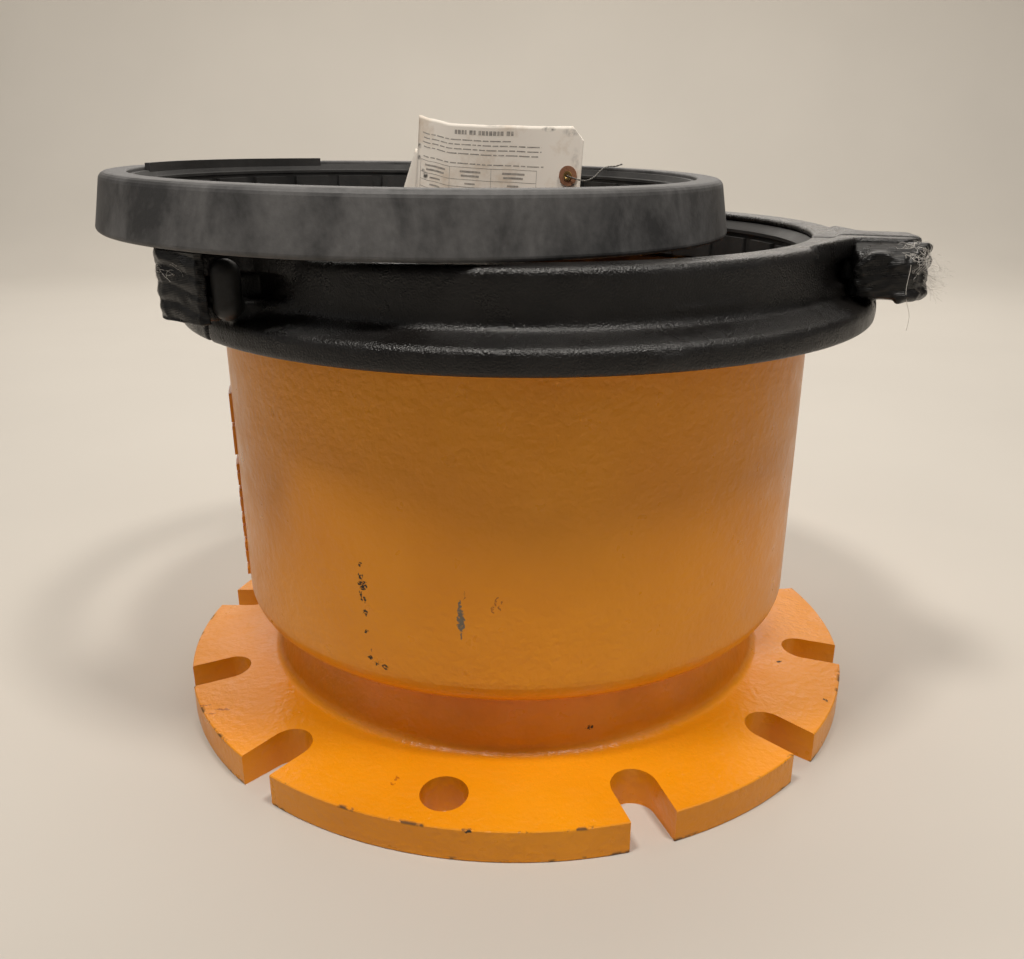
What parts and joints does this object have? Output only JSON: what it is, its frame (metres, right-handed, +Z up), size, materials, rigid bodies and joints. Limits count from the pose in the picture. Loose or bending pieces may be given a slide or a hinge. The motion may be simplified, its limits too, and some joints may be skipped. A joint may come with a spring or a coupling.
{
  "type": "flange adaptor",
  "caption": "Wide-range pipe flange adaptor: an orange cast flange and bowl under a black bolted clamp ring with a rubber seal, and a loose gasket with a wired tag lying on top.",
  "frame": {"origin": "centre of the waterway at the flange's mating face", "axes": "+Z up the waterway from the flange to the clamp ring; -Y towards the viewer of the picture, +X to the viewer's right"},
  "size_m": [0.4256, 0.4089, 0.33],
  "materials": {
    "orange_paint": "glossy paint over a cast surface, chipped in places",
    "black_cast_iron": "semi-gloss black coating over a grainy cast surface",
    "bolt_steel": "dark steel with a hint of rust",
    "plated_steel": "dull plated steel",
    "seal_rubber": "matte moulded rubber",
    "gasket_rubber": "matte moulded rubber with pale blotches",
    "insert_rubber": "matte moulded rubber",
    "card": "cream card stock with plain grey rules",
    "fibre_patch": "brown pressed fibre",
    "eyelet_brass": "dull brass",
    "tie_wire": "bright soft wire",
    "cloth_tape": "black cloth tape, crumpled and frayed"
  },
  "bodies": {
    "adaptor": {"flange_body": "orange_paint", "clamp_segment_front": "black_cast_iron", "clamp_segment_right": "black_cast_iron", "clamp_segment_left": "black_cast_iron", "t_bolt_left": "bolt_steel", "t_bolt_right": "bolt_steel", "t_bolt_rear": "bolt_steel", "washer_left": "plated_steel", "washer_right": "plated_steel", "nut_left": "plated_steel", "nut_right": "plated_steel", "seal_ring": "seal_rubber", "gasket_ring": "gasket_rubber", "gasket_insert": "insert_rubber", "tag_card": "card", "tag_card_back": "card", "tag_patch": "fibre_patch", "tag_eyelet": "eyelet_brass", "tag_wire": "tie_wire", "tape_left": "cloth_tape", "tape_right": "cloth_tape"},
    "rear_washer": {"washer_rear": "plated_steel"},
    "rear_nut": {"nut_rear": "plated_steel"}
  },
  "joints": [
    {"name": "rear_washer_travel", "type": "slide", "parent": "adaptor", "child": "rear_washer", "axis": [0.9903, 0.1392, 0], "range_m": [0, 0.003]},
    {"name": "rear_nut_turn", "type": "hinge", "parent": "rear_washer", "child": "rear_nut", "pos_m": [-0.02044, 0.18815, 0.2564], "axis": [0.9903, 0.1392, 0], "range_deg": [0, 720]}
  ],
  "couplings": [
    {"joint": "rear_washer_travel", "follows": "rear_nut_turn", "m_per_rad": 0.00023873}
  ]
}
